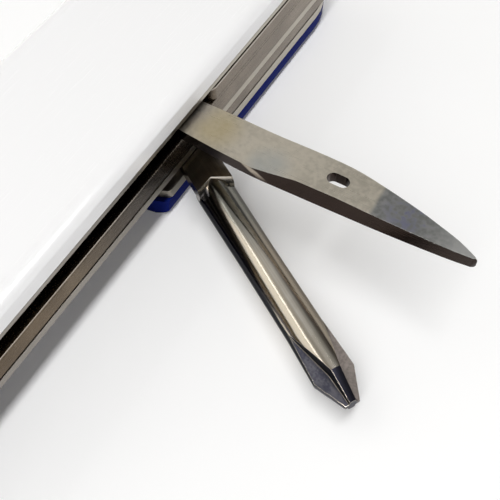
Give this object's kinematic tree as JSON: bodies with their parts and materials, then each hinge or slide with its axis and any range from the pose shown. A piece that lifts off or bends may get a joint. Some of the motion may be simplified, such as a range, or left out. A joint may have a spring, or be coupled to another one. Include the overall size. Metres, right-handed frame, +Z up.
{
  "type": "pocket knife",
  "caption": "Folding pocket knife with rounded plastic scales, an awl and a cross-head screwdriver opened from its back, and a blade, saw and openers folded into its belly.",
  "frame": {"origin": "middle of the handle's outline, on the outer face of the lower scale that it lies on", "axes": "+X along the handle towards the blade's pivot, -Y out of the back where the awl and the screwdriver open, +Z up through the layers"},
  "size_m": [0.1139, 0.0681, 0.0181],
  "materials": {
    "polished_steel": "ground and polished, with fine lengthwise grain",
    "spring_steel": "polished flush back, lightly worn",
    "liner_metal": "satin edges",
    "brass": "plain turned brass",
    "blue_plastic": "smooth moulded dark blue",
    "white_plastic": "smooth moulded white",
    "grey_plastic": "plain moulded grey"
  },
  "bodies": {
    "handle": {"scale_lower": "blue_plastic", "scale_upper": "white_plastic", "liner_upper": "liner_metal", "divider_upper": "liner_metal", "divider_lower": "liner_metal", "liner_lower": "liner_metal", "spring_openers": "spring_steel", "spring_saw": "spring_steel", "spring_blade": "spring_steel", "pin_front": "polished_steel", "pin_rear": "polished_steel", "pin_back": "polished_steel", "pin_spring_front": "polished_steel", "pin_spring_rear": "polished_steel", "bush_front_lower": "brass", "bush_front_upper": "brass", "bush_rear_lower": "brass", "bush_rear_upper": "brass", "bush_back_lower": "brass", "bush_back_upper": "brass", "key_lug": "polished_steel"},
    "awl": {"awl": "polished_steel"},
    "phillips": {"phillips_driver": "polished_steel"},
    "blade": {"main_blade": "polished_steel"},
    "saw": {"wood_saw": "polished_steel"},
    "can_opener": {"can_opener": "polished_steel"},
    "bottle_opener": {"bottle_opener": "polished_steel"},
    "ring": {"key_ring": "polished_steel"},
    "tweezers": {"tweezers": "polished_steel"},
    "toothpick": {"toothpick": "grey_plastic"}
  },
  "joints": [
    {"name": "awl_hinge", "type": "hinge", "parent": "handle", "child": "awl", "pos_m": [0.008, -0.0084, 0.0126], "axis": [0, 0, 1], "range_deg": [-90, 0]},
    {"name": "phillips_hinge", "type": "hinge", "parent": "handle", "child": "phillips", "pos_m": [0.008, -0.0084, 0.0056], "axis": [0, 0, 1], "range_deg": [-59, 31]},
    {"name": "blade_hinge", "type": "hinge", "parent": "handle", "child": "blade", "pos_m": [0.0485, 0, 0.0056], "axis": [0, 0, -1], "range_deg": [0, 180]},
    {"name": "saw_hinge", "type": "hinge", "parent": "handle", "child": "saw", "pos_m": [0.0485, 0, 0.0094], "axis": [0, 0, -1], "range_deg": [0, 180]},
    {"name": "can_opener_hinge", "type": "hinge", "parent": "handle", "child": "can_opener", "pos_m": [0.0485, 0, 0.0126], "axis": [0, 0, -1], "range_deg": [0, 180]},
    {"name": "bottle_opener_hinge", "type": "hinge", "parent": "handle", "child": "bottle_opener", "pos_m": [-0.0485, 0, 0.0126], "axis": [0, 0, 1], "range_deg": [0, 180]},
    {"name": "key_ring_swing", "type": "hinge", "parent": "handle", "child": "ring", "pos_m": [-0.05369, -0.01119, 0.0056], "axis": [0, 0, 1], "range_deg": [-60, 60]},
    {"name": "tweezers_slide", "type": "slide", "parent": "handle", "child": "tweezers", "axis": [1, 0, 0], "range_m": [0, 0.05]},
    {"name": "toothpick_slide", "type": "slide", "parent": "handle", "child": "toothpick", "axis": [1, 0, 0], "range_m": [0, 0.05]}
  ]
}
